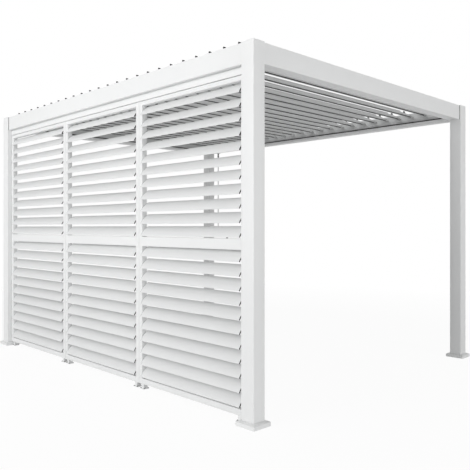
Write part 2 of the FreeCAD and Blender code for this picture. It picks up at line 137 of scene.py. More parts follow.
def lay_in_row(tree, part, given, end):
    """Last nodes of a tree: the part is turned, repeated from its first place on and given its material."""
    turned = add(tree, "GeometryNodeTransform", Geometry=part, Rotation=given["Turn"])
    places = add(tree, "GeometryNodeMeshLine", Count=given["Count"], Start_Location=given["First"],
                 Offset=given["Step"])
    row = add(tree, "GeometryNodeInstanceOnPoints", Points=places.outputs[0], Instance=turned.outputs[0])
    real = add(tree, "GeometryNodeRealizeInstances", Geometry=row.outputs[0])
    coated = add(tree, "GeometryNodeSetMaterial", Geometry=real.outputs[0], Material=given["Material"])
    tree.links.new(coated.outputs[0], end.inputs[0])


def extrusion_tree():
    """Pushes a flat section out to a length, centres it and lays it in a row."""
    tree, start, end = node_tree("extrusion_row", [("Length", "Float")] + ROW_INPUTS)
    given = start.outputs
    along = add(tree, "ShaderNodeCombineXYZ", Y=given["Length"])
    pushed = add(tree, "GeometryNodeExtrudeMesh", Mesh=given["Geometry"], Offset=along.outputs[0],
                 Offset_Scale=1.0, Individual=False)
    base = add(tree, "GeometryNodeFlipFaces", Mesh=given["Geometry"])
    both = tree.nodes.new("GeometryNodeJoinGeometry")
    tree.links.new(pushed.outputs["Mesh"], both.inputs[0])
    tree.links.new(base.outputs["Mesh"], both.inputs[0])
    solid = add(tree, "GeometryNodeMergeByDistance", Geometry=both.outputs[0], Distance=WELD)
    half_back = tree.nodes.new("ShaderNodeVectorMath")
    half_back.operation = "SCALE"
    tree.links.new(along.outputs[0], half_back.inputs[0])
    half_back.inputs["Scale"].default_value = -0.5
    middle = add(tree, "GeometryNodeTransform", Geometry=solid.outputs[0], Translation=half_back.outputs[0])
    lay_in_row(tree, middle.outputs[0], given, end)
    return tree


def grown(mesh, tree, values):
    """Mesh that a tree makes from a start mesh, as a plain mesh."""
    carrier = bpy.data.objects.new("carrier", mesh)
    bpy.context.collection.objects.link(carrier)
    modifier = carrier.modifiers.new("grow", "NODES")
    modifier.node_group = tree
    for item in tree.interface.items_tree:
        if item.in_out == "INPUT" and item.name in values:
            modifier[item.identifier] = values[item.name]
    evaluated = carrier.evaluated_get(bpy.context.evaluated_depsgraph_get())
    result = bpy.data.meshes.new_from_object(evaluated)
    bpy.data.objects.remove(carrier)
    return result


EXTRUSION = extrusion_tree()


def row_values(first, turn, step, count, material):
    """Values for the inputs that all rows have, with the turn in degrees."""
    return {
        "Turn": [math.radians(angle) for angle in turn], "First": first, "Step": step, "Count": count,
        "Material": material,
    }


def cut_length(loops, length, first, turn=(0, 0, 0), step=(0, 0, 0), count=1, material=None):
    """One or more lengths of an extrusion, with the first one's middle at a place."""
    values = row_values(first, turn, step, count, material)
    return grown(flat_section(loops), EXTRUSION, {"Length": float(length), **values})


SMOOTH_BELOW = math.radians(35)
SOFTEN_ABOVE = math.radians(40)


def piece(name, meshes, body, node=None, bevel=0.0):
    """Joins meshes into one piece of the pergola, softens its edges and gives it to its body."""
    work = bmesh.new()
    materials = []
    for mesh in meshes:
        before = len(work.faces)
        work.from_mesh(mesh)
        work.faces.ensure_lookup_table()
        own = next(m for m in mesh.materials if m)
        if own not in materials:
            materials.append(own)
        for face in work.faces[before:]:
            face.material_index = materials.index(own)
    result = bpy.data.meshes.new(name)
    work.to_mesh(result)
    work.free()
    for material in materials:
        result.materials.append(material)
    result.shade_smooth()
    result.set_sharp_from_angle(angle=SMOOTH_BELOW)
    made = bpy.data.objects.new(name, result)
    bpy.context.collection.objects.link(made)
    if bevel:
        soften = made.modifiers.new("edges", "BEVEL")
        soften.width = bevel
        soften.segments = 2
        soften.limit_method = "ANGLE"
        soften.angle_limit = SOFTEN_ABOVE
        soften.harden_normals = True
    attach(made, body)
    if node:
        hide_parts(node)


def powder_coat(name, colour, rough=0.42, grain=0.12):
    """Sprayed and baked coat: a faint grain, and a faint drift of tone and gloss."""
    material = bpy.data.materials.new(name)
    material.use_nodes = True
    nodes = material.node_tree.nodes
    links = material.node_tree.links
    shader = nodes["Principled BSDF"]
    place = nodes.new("ShaderNodeTexCoord")
    drift = nodes.new("ShaderNodeTexNoise")
    drift.inputs["Scale"].default_value = 1.7
    drift.inputs["Detail"].default_value = 3
    tone = nodes.new("ShaderNodeValToRGB")
    tone.color_ramp.elements[0].position = 0.3
    tone.color_ramp.elements[1].position = 0.7
    tone.color_ramp.elements[0].color = [c * 0.975 for c in colour] + [1]
    tone.color_ramp.elements[1].color = list(colour) + [1]
    gloss = nodes.new("ShaderNodeMapRange")
    gloss.inputs["To Min"].default_value = rough - 0.04
    gloss.inputs["To Max"].default_value = rough + 0.05
    fine = nodes.new("ShaderNodeTexNoise")
    fine.inputs["Scale"].default_value = 900
    fine.inputs["Detail"].default_value = 2
    bump = nodes.new("ShaderNodeBump")
    bump.inputs["Strength"].default_value = grain
    bump.inputs["Distance"].default_value = 0.0003
    links.new(place.outputs["Object"], drift.inputs["Vector"])
    links.new(place.outputs["Object"], fine.inputs["Vector"])
    links.new(drift.outputs["Fac"], tone.inputs["Fac"])
    links.new(tone.outputs["Color"], shader.inputs["Base Color"])
    links.new(drift.outputs["Fac"], gloss.inputs["Value"])
    links.new(gloss.outputs["Result"], shader.inputs["Roughness"])
    links.new(fine.outputs["Fac"], bump.inputs["Height"])
    links.new(bump.outputs["Normal"], shader.inputs["Normal"])
    shader.inputs["Specular IOR Level"].default_value = 0.45
    return material


WHITE_COAT = powder_coat("white_powder_coat", (0.80, 0.806, 0.806))
half_post = POST_SIDE / 2
tube_section = [
    rounded(block(-half_post, half_post, -half_post, half_post), POST_ROUND),
    block(POST_WALL - half_post, half_post - POST_WALL, POST_WALL - half_post, half_post - POST_WALL),
]
for corner, (x, y) in POSTS.items():
    tube = cut_length(tube_section, POST_TOP - POST_FOOT, (x, y, (POST_TOP + POST_FOOT) / 2),
                      turn=(90, 0, 0), material=WHITE_COAT)
    piece("tube_" + corner, [tube], "structure", "post_" + corner)


# Base skirts and post caps: pressed aluminium covers in the same white.
# The skirt slides down the post over the anchor plate; the cap's spigot plugs the tube's top.
SKIRT_RINGS = [
    (0.0765, 0.002, 0.0), (0.0795, 0.004, 0.0), (0.0795, 0.004, 0.0245), (0.0790, 0.004, 0.0256),
    (0.0778, 0.004, 0.0262), (0.0768, 0.004, 0.0264), (0.0600, 0.003, 0.0340), (0.0590, 0.003, 0.0344),
    (0.0575, 0.003, 0.0346), (0.0535, 0.0045, 0.0346), (0.0529, 0.0045, 0.0338), (0.0529, 0.0045, 0.030),
    (0.0755, 0.003, 0.0225), (0.0765, 0.002, 0.020),
]
CAP_RINGS = [
    (0.0485, 0.002, 2.382), (0.0490, 0.002, 2.383), (0.0490, 0.002, 2.3941), (0.0519, 0.004, 2.3941),
    (0.0526, 0.0042, 2.3947), (0.0527, 0.0042, 2.3962), (0.0524, 0.0042, 2.3972), (0.0515, 0.0042, 2.3979),
    (0.0500, 0.0040, 2.3981),
]
BLEND_STEPS = 6


def ring_stack(rings, x, y, material, closed=False):
    """Shell through rounded squares of (half side, corner radius, height); closed joins last to first."""
    work = bmesh.new()
    loops = []
    for half, radius, height in rings:
        outline = rounded(block(-half, half, -half, half), radius, BLEND_STEPS)
        loops.append([work.verts.new((x + px, y + py, height)) for px, py in outline])
    pairs = list(zip(loops, loops[1:]))
    if closed:
        pairs.append((loops[-1], loops[0]))
    for low, high in pairs:
        for i in range(len(low)):
            work.faces.new((low[i - 1], low[i], high[i], high[i - 1]))
    if not closed:
        work.faces.new(list(reversed(loops[0])))
        work.faces.new(loops[-1])
    bmesh.ops.recalc_face_normals(work, faces=work.faces[:])
    mesh = bpy.data.meshes.new("rings")
    work.to_mesh(mesh)
    work.free()
    mesh.materials.append(material)
    return mesh


skirts = [ring_stack(SKIRT_RINGS, x, y, WHITE_COAT, closed=True) for x, y in POSTS.values()]
piece("skirts", skirts, "structure", "base_skirts")
caps = [ring_stack(CAP_RINGS, x, y, WHITE_COAT) for x, y in POSTS.values()]
piece("caps", caps, "structure", "post_caps")


# Anchor plates: galvanised steel plates welded under the posts, bolted down through four holes.
# They stay as the solids have them; the skirts hide all but a glimpse of their edges.
def galvanised(name, colour):
    """Dull zinc with soft blotches."""
    material = bpy.data.materials.new(name)
    material.use_nodes = True
    nodes = material.node_tree.nodes
    links = material.node_tree.links
    shader = nodes["Principled BSDF"]
    place = nodes.new("ShaderNodeTexCoord")
    spangle = nodes.new("ShaderNodeTexVoronoi")
    spangle.inputs["Scale"].default_value = 160
    tone = nodes.new("ShaderNodeValToRGB")
    tone.color_ramp.elements[0].color = [c * 0.8 for c in colour] + [1]
    tone.color_ramp.elements[1].color = list(colour) + [1]
    links.new(place.outputs["Object"], spangle.inputs["Vector"])
    links.new(spangle.outputs["Distance"], tone.inputs["Fac"])
    links.new(tone.outputs["Color"], shader.inputs["Base Color"])
    shader.inputs["Metallic"].default_value = 0.9
    shader.inputs["Roughness"].default_value = 0.5
    return material


ZINC = galvanised("zinc_plate", (0.55, 0.56, 0.57))
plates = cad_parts["foot_plates"]
plates.data.materials.clear()
plates.data.materials.append(ZINC)


# Beams: one aluminium extrusion for all four sides, a hollow box with a rain gutter on its inner side.
# They butt against the posts' faces, set back from the posts' outer faces.
BEAM_TOP = 2.3965
BEAM_LOW = 2.2625
BEAM_BOX = 0.045
BEAM_WIDE = 0.093
BEAM_WALL = 0.0025
GUTTER_LIP = 0.030
LIP_BEAD = 0.005
BEAM_SETBACK = 0.012
INNER_X = HALF_X - POST_SIDE
INNER_Y = HALF_Y - POST_SIDE


def beam_outline():
    """Outside of the section, with the box at X 0 and the gutter's lip at the far side."""
    lip = BEAM_LOW + GUTTER_LIP
    floor = BEAM_LOW + BEAM_WALL
    inner = BEAM_WIDE - BEAM_WALL
    corners = [
        (0, BEAM_LOW), (BEAM_WIDE, BEAM_LOW), (BEAM_WIDE, lip), (BEAM_WIDE - LIP_BEAD, lip),
        (BEAM_WIDE - LIP_BEAD, lip - BEAM_WALL), (inner, lip - BEAM_WALL), (inner, floor),
        (BEAM_BOX, floor), (BEAM_BOX, BEAM_TOP), (0, BEAM_TOP),
    ]
    radii = [0.0015, 0.0015, 0.001, 0.001, 0.0005, 0.0005, 0.002, 0.002, 0.0015, 0.0015]
    return rounded(corners, radii, 4)


beam_hollow = block(BEAM_WALL, BEAM_BOX - BEAM_WALL, BEAM_LOW + BEAM_WALL, BEAM_TOP - BEAM_WALL)
beam_section = [beam_outline(), beam_hollow]
BEAMS = {
    "front": (2 * INNER_X, (0, -HALF_Y + BEAM_SETBACK, 0), 90),
    "back": (2 * INNER_X, (0, HALF_Y - BEAM_SETBACK, 0), -90),
    "right": (2 * INNER_Y, (HALF_X - BEAM_SETBACK, 0, 0), 180),
    "left": (2 * INNER_Y, (-HALF_X + BEAM_SETBACK, 0, 0), 0),
}
for side, (length, place, turn) in BEAMS.items():
    length_mesh = cut_length(beam_section, length, place, turn=(0, 0, turn), material=WHITE_COAT)
    piece("gutter_beam_" + side, [length_mesh], "structure", "beam_" + side)


# Roof blades: hollow aluminium extrusions with a rain trough on the low edge and a lip on the high edge.
# Black plastic caps with a raised ear close their ends and hold the pins, and a black rubber seal runs
# along the trough's rim. The first and last blade are notched to pass the posts.
BLADES = 25
BLADE_TILT = 30
PIVOT_HEIGHT = 2.378
LAST_PIVOT = 1.6615
BLADE_PITCH = 2 * LAST_PIVOT / (BLADES - 1)
BLADE_HALF = 0.058
BLADE_UNDER = -0.011
BLADE_END = 1.438
EDGE_END = 1.358
CROWN_TOP = 0.0120
CROWN_FALL_RIGHT = 0.0030
CROWN_FALL_LEFT = 0.0010
CROWN_STEPS = 12
NOTCH_FROM = 1.390
NOTCH_KEEP = 0.024
NOTCH_TOP = 0.0118
CAP_LENGTH = 0.003
CAP_TIP_FROM = -0.0500
EAR_LENGTH = 0.013
PIN_LENGTH = 0.020
PIN_ROUND = 0.004
PIN_SIDES = 20
# The blades' coat is the frame's white set darker, painted shade for the roof's underside.
SHADED_BLADE_COAT = powder_coat("blade_powder_coat", (0.70, 0.707, 0.707), rough=0.45)


def black_plastic(name, colour, rough, grain):
    """Moulded black plastic or rubber with a fine texture."""
    material = powder_coat(name, colour, rough, grain)
    tone = next(n for n in material.node_tree.nodes if n.type == "VALTORGB")
    tone.color_ramp.elements[0].color = [c * 1.5 for c in colour] + [1]
    return material


BLACK_MOULDING = black_plastic("black_moulding", (0.02, 0.02, 0.021), 0.5, 0.2)
# Black rubber for the blades' seals; the gutter and joint strips use it as painted shade.
BLACK_RUBBER_AND_SHADE = black_plastic("black_rubber_and_painted_shade", (0.025, 0.025, 0.026), 0.68, 0.1)


def blade_outline(left=-BLADE_HALF, right=BLADE_HALF, tip=False):
    """Blade body from left to right, crowned above and tapered to its low edge; a cap has a raised tip."""
    raised = tip and left == -BLADE_HALF
    crown_from = CAP_TIP_FROM if raised else left
    crown = []
    for step in range(CROWN_STEPS + 1):
        x = BLADE_HALF - 2 * BLADE_HALF * step / CROWN_STEPS
        fall = CROWN_FALL_RIGHT if x > 0 else CROWN_FALL_LEFT
        if crown_from < x < right:
            crown.append((x, CROWN_TOP - fall * (x / BLADE_HALF) ** 2))
    corners = [(left, BLADE_UNDER)]
    radii = [0.0025]
    if right == BLADE_HALF:
        corners += [(0.020, BLADE_UNDER), (right, 0.0015), (right, CROWN_TOP - CROWN_FALL_RIGHT)]
        radii += [0.006, 0.0015, 0.0015]
    else:
        corners += [(right, BLADE_UNDER), (right, NOTCH_TOP)]
        radii += [0.0015, 0.0015]
    corners += crown
    radii += [0] * len(crown)
    if raised:
        corners += [
            (CAP_TIP_FROM, 0.0112), (-0.0600, 0.0190), (-0.0650, 0.0190), (-0.0650, 0.0120), (left, 0.0060),
        ]
        radii += [0.002, 0.0015, 0.0015, 0.002, 0.001]
    else:
        corners.append((left, CROWN_TOP - CROWN_FALL_LEFT if left == -BLADE_HALF else NOTCH_TOP))
        radii.append(0.002)
    return rounded(corners, radii, 4)


trough_outline = rounded([
    (0.0575, 0.0015), (0.075, 0.0015), (0.075, 0.0065), (0.0734, 0.0065), (0.0734, 0.0031),
    (0.0575, 0.0031),
], [0, 0.0012, 0.0006, 0.0006, 0.001, 0], 4)
lip_outline = rounded([
    (-0.0575, 0.0094), (-0.0612, 0.0164), (-0.0734, 0.0164), (-0.0734, 0.009), (-0.075, 0.009),
    (-0.075, 0.018), (-0.0612, 0.018), (-0.0575, 0.011),
], [0, 0.001, 0.001, 0.0007, 0.0007, 0.0022, 0.0015, 0], 4)
seal_outline = rounded([
    (0.0748, 0.0022), (0.0758, 0.0022), (0.0758, 0.0074), (0.0745, 0.0088), (0.0727, 0.0080),
    (0.0727, 0.0058), (0.0748, 0.0058),
], 0.0004, 3)
ear_outline = rounded([
    (-0.0525, 0.0105), (-0.0525, 0.0228), (-0.0700, 0.0228), (-0.0700, 0.0120), (-0.0575, 0.0105),
], [0, 0.0045, 0.0045, 0.001, 0], 5)
pin_outline = []
for side in range(PIN_SIDES):
    angle = side * 2 * math.pi / PIN_SIDES
    pin_outline.append((PIN_ROUND * math.cos(angle), PIN_ROUND * math.sin(angle)))

for number in range(1, BLADES + 1):
    x = LAST_PIVOT - BLADE_PITCH * (number - 1)
    hub = (x, 0, PIVOT_HEIGHT)
    turn = (0, BLADE_TILT, 0)
    left = -NOTCH_KEEP if number == BLADES else -BLADE_HALF
    right = NOTCH_KEEP if number == 1 else BLADE_HALF
    notched = number in (1, BLADES)
    main_end = NOTCH_FROM if notched else BLADE_END - CAP_LENGTH
    parts = [
        cut_length([blade_outline()], 2 * main_end, hub, turn, material=SHADED_BLADE_COAT),
        cut_length([trough_outline], 2 * EDGE_END, hub, turn, material=SHADED_BLADE_COAT),
        cut_length([lip_outline], 2 * EDGE_END, hub, turn, material=SHADED_BLADE_COAT),
    ]
    end_parts = [(blade_outline(left, right, tip=True), CAP_LENGTH, BLADE_END - CAP_LENGTH / 2)]
    if number != BLADES:
        end_parts.append((ear_outline, EAR_LENGTH, BLADE_END - EAR_LENGTH / 2))
    end_parts.append((pin_outline, PIN_LENGTH, BLADE_END + PIN_LENGTH / 2))
    trims = [cut_length([seal_outline], 2 * EDGE_END, hub, turn, material=BLACK_RUBBER_AND_SHADE)]
    for sign in (-1, 1):
        for outline, length, middle in end_parts:
            place = (x, sign * middle, PIVOT_HEIGHT)
            trims.append(cut_length([outline], length, place, turn, material=BLACK_MOULDING))
        if notched:
            stub = BLADE_END - CAP_LENGTH - NOTCH_FROM
            place = (x, sign * (NOTCH_FROM + stub / 2), PIVOT_HEIGHT)
            parts.append(cut_length([blade_outline(left, right)], stub, place, turn, material=SHADED_BLADE_COAT))
    node = "louver_%02d" % number
    body = node + "_body"
    piece("blade_%02d" % number, parts, body, node)
    piece("blade_%02d_trim" % number, trims, body)


# Gutter shade strips: a thin black strip clipped over the rim of each gutter lip, painted shade.
# It stands for the shadow inside the gutters, the dark line that runs round the inside of the beams.
RIM = BEAM_LOW + GUTTER_LIP
SHADE_STRIP_LEG = -0.0030
SHADE_STRIP_THICK = 0.0014
SHADE_STRIP_SHOULDER = 0.0060
SHADE_STRIP_TOP = 0.0090
SHADE_STRIP_CLEAR = 0.004
SHADE_STRIP = [
    (-SHADE_STRIP_THICK, SHADE_STRIP_LEG), (0, SHADE_STRIP_LEG), (0, 0), (LIP_BEAD, 0), (LIP_BEAD, -BEAM_WALL),
    (LIP_BEAD + SHADE_STRIP_THICK, -BEAM_WALL), (LIP_BEAD + SHADE_STRIP_THICK, SHADE_STRIP_SHOULDER),
    (0.0040, SHADE_STRIP_TOP), (0.0010, SHADE_STRIP_TOP), (-SHADE_STRIP_THICK, SHADE_STRIP_SHOULDER),
]


def shade_strip_outline(side):
    """Black strip of painted shade on a lip whose beam lies on the side given, + or -."""
    corners = [(side * x, RIM + z) for x, z in SHADE_STRIP]
    return rounded(corners if side > 0 else corners[::-1], 0.0003, 2)


# Black strips of painted shade, one along each gutter lip.
shade_strips = []
for side in (-1, 1):
    strip_section = [shade_strip_outline(side)]
    along_x = cut_length(strip_section, 2 * INNER_X, (0, side * INNER_Y, 0), (0, 0, 90), material=BLACK_RUBBER_AND_SHADE)
    along_y = cut_length(strip_section, 2 * INNER_Y - SHADE_STRIP_CLEAR, (side * INNER_X, 0, 0), material=BLACK_RUBBER_AND_SHADE)
    shade_strips += [along_x, along_y]
piece("gutter_painted_shade_strip", shade_strips, "structure")


# Joint shade lines: a thin black strip up each end of each beam's outer face, in the corner with the post.
# It is painted shade for the shadow gap at each joint: the upright dark lines beside the posts.
SHADE_LINE_WIDE = 0.0028
BEAM_FACE_X = HALF_X - BEAM_SETBACK
BEAM_FACE_Y = HALF_Y - BEAM_SETBACK
shade_line_outline = rounded(block(0, SHADE_LINE_WIDE, 0, SHADE_LINE_WIDE), 0.0008, 3)
shade_line_places = []
for x in (-INNER_X, INNER_X - SHADE_LINE_WIDE):
    for y in (-BEAM_FACE_Y, BEAM_FACE_Y + SHADE_LINE_WIDE):
        shade_line_places.append((x, y))
for x in (-BEAM_FACE_X - SHADE_LINE_WIDE, BEAM_FACE_X):
    for y in (-INNER_Y + SHADE_LINE_WIDE, INNER_Y):
        shade_line_places.append((x, y))
# Black strips of painted shade, one in each beam-to-post corner.
shade_lines = []
for x, y in shade_line_places:
    place = (x, y, (BEAM_TOP + BEAM_LOW) / 2)
    shade_lines.append(cut_length([shade_line_outline], BEAM_TOP - BEAM_LOW, place, (90, 0, 0), material=BLACK_RUBBER_AND_SHADE))
piece("beam_end_painted_shade_lines", shade_lines, "structure")


# Crank drive: a cast worm gearbox screwed to the back beam's gutter lip, with a black eye below it.
# The white bent rod hooks into the eye and carries a ribbed black grip on its throw.
CRANK_X = -1.483
CRANK_Y = 1.3725
CASE_WIDE = 0.062
CASE_DEEP = 0.045
CASE_TALL = 0.054
CASE_BODY = 0.047
FLANGE_WIDE = 0.092
FLANGE_TALL = 0.0265
FLANGE_THICK = 0.004
COVER_PROUD = 0.003
SLEEVE_START = 0.001
CASTING_EDGE = 0.0006
FLANGE_SCREWS_APART = 0.077
COVER_SCREWS_APART = 0.046
CASE_TOP = BEAM_LOW + FLANGE_TALL
CASE_LOW = CASE_TOP - CASE_TALL
CASE_FRONT = INNER_Y - CASE_DEEP
SLEEVE_HEIGHT = CASE_TOP - 0.011
EYE_CENTRE = CASE_LOW - 0.028
EYE_RING = 0.011
EYE_WIRE = 0.004
HOOK_CENTRE = EYE_CENTRE - 0.0125
HOOK_RING = 0.009
HOOK_WIRE = 0.0034
ROD_TOP = HOOK_CENTRE - 0.0145
ROD_STRAIGHT = 0.969
ROD_ROUND = 0.007
ROD_CORNER = 0.024
ROD_BEND = ROD_TOP - ROD_STRAIGHT
SPINDLE_LOW = ROD_BEND - 0.064
THROW = 0.12
THROW_TURN = math.radians(47)
THROW_X = CRANK_X + THROW * math.cos(THROW_TURN)
THROW_Y = CRANK_Y + THROW * math.sin(THROW_TURN)
THROW_DROP = 0.040
GRIP_LENGTH = 0.122
GRIP_SIDES = 40
GRIP_RIBS = 10
FIRST_RIB = 0.0065
RIB_PITCH = 0.011
RING_SIDES = 36


def spun(profile, steps=36):
    """Turned part about Z from (radius, height) points that start and end on the axis."""
    work = bmesh.new()
    corners = [work.verts.new((r, 0, z)) for r, z in profile]
    edges = [work.edges.new(pair) for pair in zip(corners, corners[1:])]
    bmesh.ops.spin(work, geom=corners + edges, cent=(0, 0, 0), axis=(0, 0, 1), angle=2 * math.pi,
                   steps=steps)
    bmesh.ops.remove_doubles(work, verts=work.verts[:], dist=WELD)
    bmesh.ops.recalc_face_normals(work, faces=work.faces[:])
    mesh = bpy.data.meshes.new("turned")
    work.to_mesh(mesh)
    work.free()
    return mesh


def bar_tree():
    """Round bar along a line of points, with its corners rounded."""
    tree, start, end = node_tree("round_bar", [
        ("Radius", "Float"), ("Bend", "Float"), ("Material", "Material"),
    ])
    given = start.outputs
    line = add(tree, "GeometryNodeMeshToCurve", Mesh=given["Geometry"])
    bent = add(tree, "GeometryNodeFilletCurve", Curve=line.outputs[0], Radius=given["Bend"],
               Limit_Radius=True)
    bent.mode = "POLY"
    bent.inputs["Count"].default_value = 12
    ring = add(tree, "GeometryNodeCurvePrimitiveCircle", Resolution=24, Radius=given["Radius"])
    tube = add(tree, "GeometryNodeCurveToMesh", Curve=bent.outputs[0], Profile_Curve=ring.outputs[0],
               Fill_Caps=True)
    coated = add(tree, "GeometryNodeSetMaterial", Geometry=tube.outputs[0], Material=given["Material"])
    tree.links.new(coated.outputs[0], end.inputs[0])
    return tree


BAR = bar_tree()


def bar(points, radius, bend, material, closed=False):
    """Round bar through points; closed joins the last point to the first."""
    line = bpy.data.meshes.new("line")
    pairs = [(i, i + 1) for i in range(len(points) - 1)]
    if closed:
        pairs.append((len(points) - 1, 0))
    line.from_pydata(points, pairs, [])
    return grown(line, BAR, {"Radius": radius, "Bend": bend, "Material": material})


def repeat_tree():
    """Lays a small part in a row."""
    tree, start, end = node_tree("part_row", ROW_INPUTS)
    lay_in_row(tree, start.outputs["Geometry"], start.outputs, end)
    return tree


ROW = repeat_tree()


def row_of(mesh, first, material, turn=(0, 0, 0), step=(0, 0, 0), count=1):
    """One or more copies of a small part, with the first one's origin at a place."""
    return grown(mesh, ROW, row_values(first, turn, step, count, material))


def ring_points(radius, centre, along):
    """Upright circle of points that spreads along X or Y."""
    points = []
    for i in range(RING_SIDES):
        angle = i * 2 * math.pi / RING_SIDES
        out = radius * math.cos(angle)
        up = centre[2] + radius * math.sin(angle)
        points.append((centre[0] + out, centre[1], up) if along == "X" else (centre[0], centre[1] + out, up))
    return points


BOLT_STEEL = galvanised("bolt_steel", (0.62, 0.63, 0.64))
SCREW_SIDES = 24
screw = spun([
    (0, 0), (0.0042, 0), (0.0043, 0.0006), (0.0040, 0.0016), (0.0031, 0.0024), (0.0018, 0.0027),
    (0.0014, 0.0027), (0.0012, 0.0012), (0, 0.0012),
], SCREW_SIDES)
case_outline = rounded(
    block(CRANK_X - CASE_WIDE / 2, CRANK_X + CASE_WIDE / 2, -INNER_Y, -CASE_FRONT),
    [0.001, 0.001, 0.006, 0.006])
flange_outline = rounded(
    block(CRANK_X - FLANGE_WIDE / 2, CRANK_X + FLANGE_WIDE / 2, -INNER_Y, -INNER_Y + FLANGE_THICK),
    0.0008, 3)
cover = spun([(0, 0), (0.0145, 0), (0.0156, 0.0005), (0.016, 0.0015), (0.016, 0.030), (0, 0.030)])
boss = spun([(0, 0), (0.0148, 0), (0.0157, 0.0004), (0.016, 0.0012), (0.016, 0.012), (0, 0.012)])
sleeve = spun([(0, 0), (0.007, 0), (0.007, 0.050), (0, 0.050)])
casting = [
    cut_length([case_outline], CASE_BODY, (0, 0, CASE_TOP - CASE_BODY / 2), (90, 0, 0), material=WHITE_COAT),
    cut_length([flange_outline], FLANGE_TALL, (0, 0, CASE_TOP - FLANGE_TALL / 2), (90, 0, 0),
               material=WHITE_COAT),
    row_of(cover, (CRANK_X, CASE_FRONT - COVER_PROUD, SLEEVE_HEIGHT), WHITE_COAT, (-90, 0, 0)),
    row_of(boss, (CRANK_X, CRANK_Y, CASE_LOW), WHITE_COAT),
    row_of(sleeve, (CRANK_X, INNER_Y - SLEEVE_START, SLEEVE_HEIGHT), WHITE_COAT, (-90, 0, 0)),
]
piece("gear_case", casting, "structure", "crank_gearbox", bevel=CASTING_EDGE)
screw_rows = (
    (FLANGE_SCREWS_APART, INNER_Y - FLANGE_THICK, CASE_TOP - 0.012),
    (COVER_SCREWS_APART, CASE_FRONT, CASE_TOP - 0.040),
    (COVER_SCREWS_APART, CASE_FRONT, CASE_TOP - 0.010),
)
case_screws = []
for apart, y, height in screw_rows:
    first = (CRANK_X - apart / 2, y, height)
    case_screws.append(row_of(screw, first, BOLT_STEEL, (90, 0, 0), (apart, 0, 0), 2))
piece("gear_case_screws", case_screws, "structure")

collar_low = CASE_LOW - 0.0085
input_shaft = spun([
    (0, EYE_CENTRE + 0.010), (0.006, EYE_CENTRE + 0.010), (0.006, collar_low), (0.0098, collar_low),
    (0.0108, collar_low + 0.0008), (0.011, collar_low + 0.002), (0.011, CASE_LOW - 0.0012),
    (0.0102, CASE_LOW - 0.0005), (0.006, CASE_LOW - 0.0005), (0.006, CASE_LOW + 0.018),
    (0, CASE_LOW + 0.018),
])
socket_low = ROD_TOP - 0.043
rod_socket = spun([
    (0, socket_low + 0.001), (0.0072, socket_low + 0.001), (0.0076, socket_low), (0.0092, socket_low),
    (0.010, socket_low + 0.001), (0.010, ROD_TOP - 0.001), (0.0086, ROD_TOP + 0.002),
    (0.0050, ROD_TOP + 0.006), (0, ROD_TOP + 0.0065),
])
eye_line = ring_points(EYE_RING, (CRANK_X, CRANK_Y, EYE_CENTRE), "X")
hook_line = ring_points(HOOK_RING, (CRANK_X, CRANK_Y, HOOK_CENTRE), "Y")
hook_parts = [
    row_of(input_shaft, (CRANK_X, CRANK_Y, 0), BLACK_MOULDING),
    bar(eye_line, EYE_WIRE, 0, BLACK_MOULDING, closed=True),
    bar(hook_line, HOOK_WIRE, 0, BLACK_MOULDING, closed=True),
    row_of(rod_socket, (CRANK_X, CRANK_Y, 0), BLACK_MOULDING),
]
piece("eye_and_hook", hook_parts, "crank", "crank_hook")
crank_line = [
    (CRANK_X, CRANK_Y, ROD_TOP), (CRANK_X, CRANK_Y, ROD_BEND),
    (THROW_X, THROW_Y, ROD_BEND - THROW_DROP), (THROW_X, THROW_Y, SPINDLE_LOW),
]
bent_rod = bar(crank_line, ROD_ROUND, ROD_CORNER, WHITE_COAT)
piece("bent_rod", [bent_rod], "crank", "crank_rod")
grip_profile = [
    (0, -GRIP_LENGTH), (0.0095, -GRIP_LENGTH), (0.0110, -GRIP_LENGTH + 0.0008),
    (0.0115, -GRIP_LENGTH + 0.002), (0.0115, -GRIP_LENGTH + 0.006),
]
for rib in range(GRIP_RIBS):
    height = -GRIP_LENGTH + FIRST_RIB + rib * RIB_PITCH
    grip_profile += [
        (0.0126, height), (0.0134, height + 0.001), (0.0136, height + 0.004), (0.0136, height + 0.006),
        (0.0134, height + 0.009), (0.0126, height + 0.010),
    ]
grip_profile += [(0.0115, -0.0055), (0.0115, -0.002), (0.0110, -0.0008), (0.0095, 0), (0, 0)]
grip = row_of(spun(grip_profile, GRIP_SIDES), (THROW_X, THROW_Y, SPINDLE_LOW), BLACK_MOULDING)
piece("ribbed_grip", [grip], "crank", "crank_grip")


# Header track: a slotted aluminium rail that hangs under the front beam on a narrow neck.
# The panels' tongues stand in its slot.
TRACK_FRONT = -1.457
TRACK_DEPTH = 0.045
TRACK_LOW = 2.210
TRACK_TOP = 2.253
TRACK_CLEAR = 0.0006
SLOT_FROM = 0.0162
SLOT_TO = 0.0288
SLOT_TOP = TRACK_LOW + 0.014
NECK_FROM = 0.009
NECK_TO = 0.036
track_section = [rounded([
    (0, TRACK_LOW), (SLOT_FROM, TRACK_LOW), (SLOT_FROM, SLOT_TOP), (SLOT_TO, SLOT_TOP),
    (SLOT_TO, TRACK_LOW), (TRACK_DEPTH, TRACK_LOW), (TRACK_DEPTH, TRACK_TOP), (NECK_TO, TRACK_TOP),
    (NECK_TO, BEAM_LOW), (NECK_FROM, BEAM_LOW), (NECK_FROM, TRACK_TOP), (0, TRACK_TOP),
], 0.0008, 3)]
track = cut_length(track_section, 2 * INNER_X - TRACK_CLEAR, (0, TRACK_FRONT, 0), (0, 0, 90),
                   material=WHITE_COAT)
piece("track", [track], "structure", "header_track")


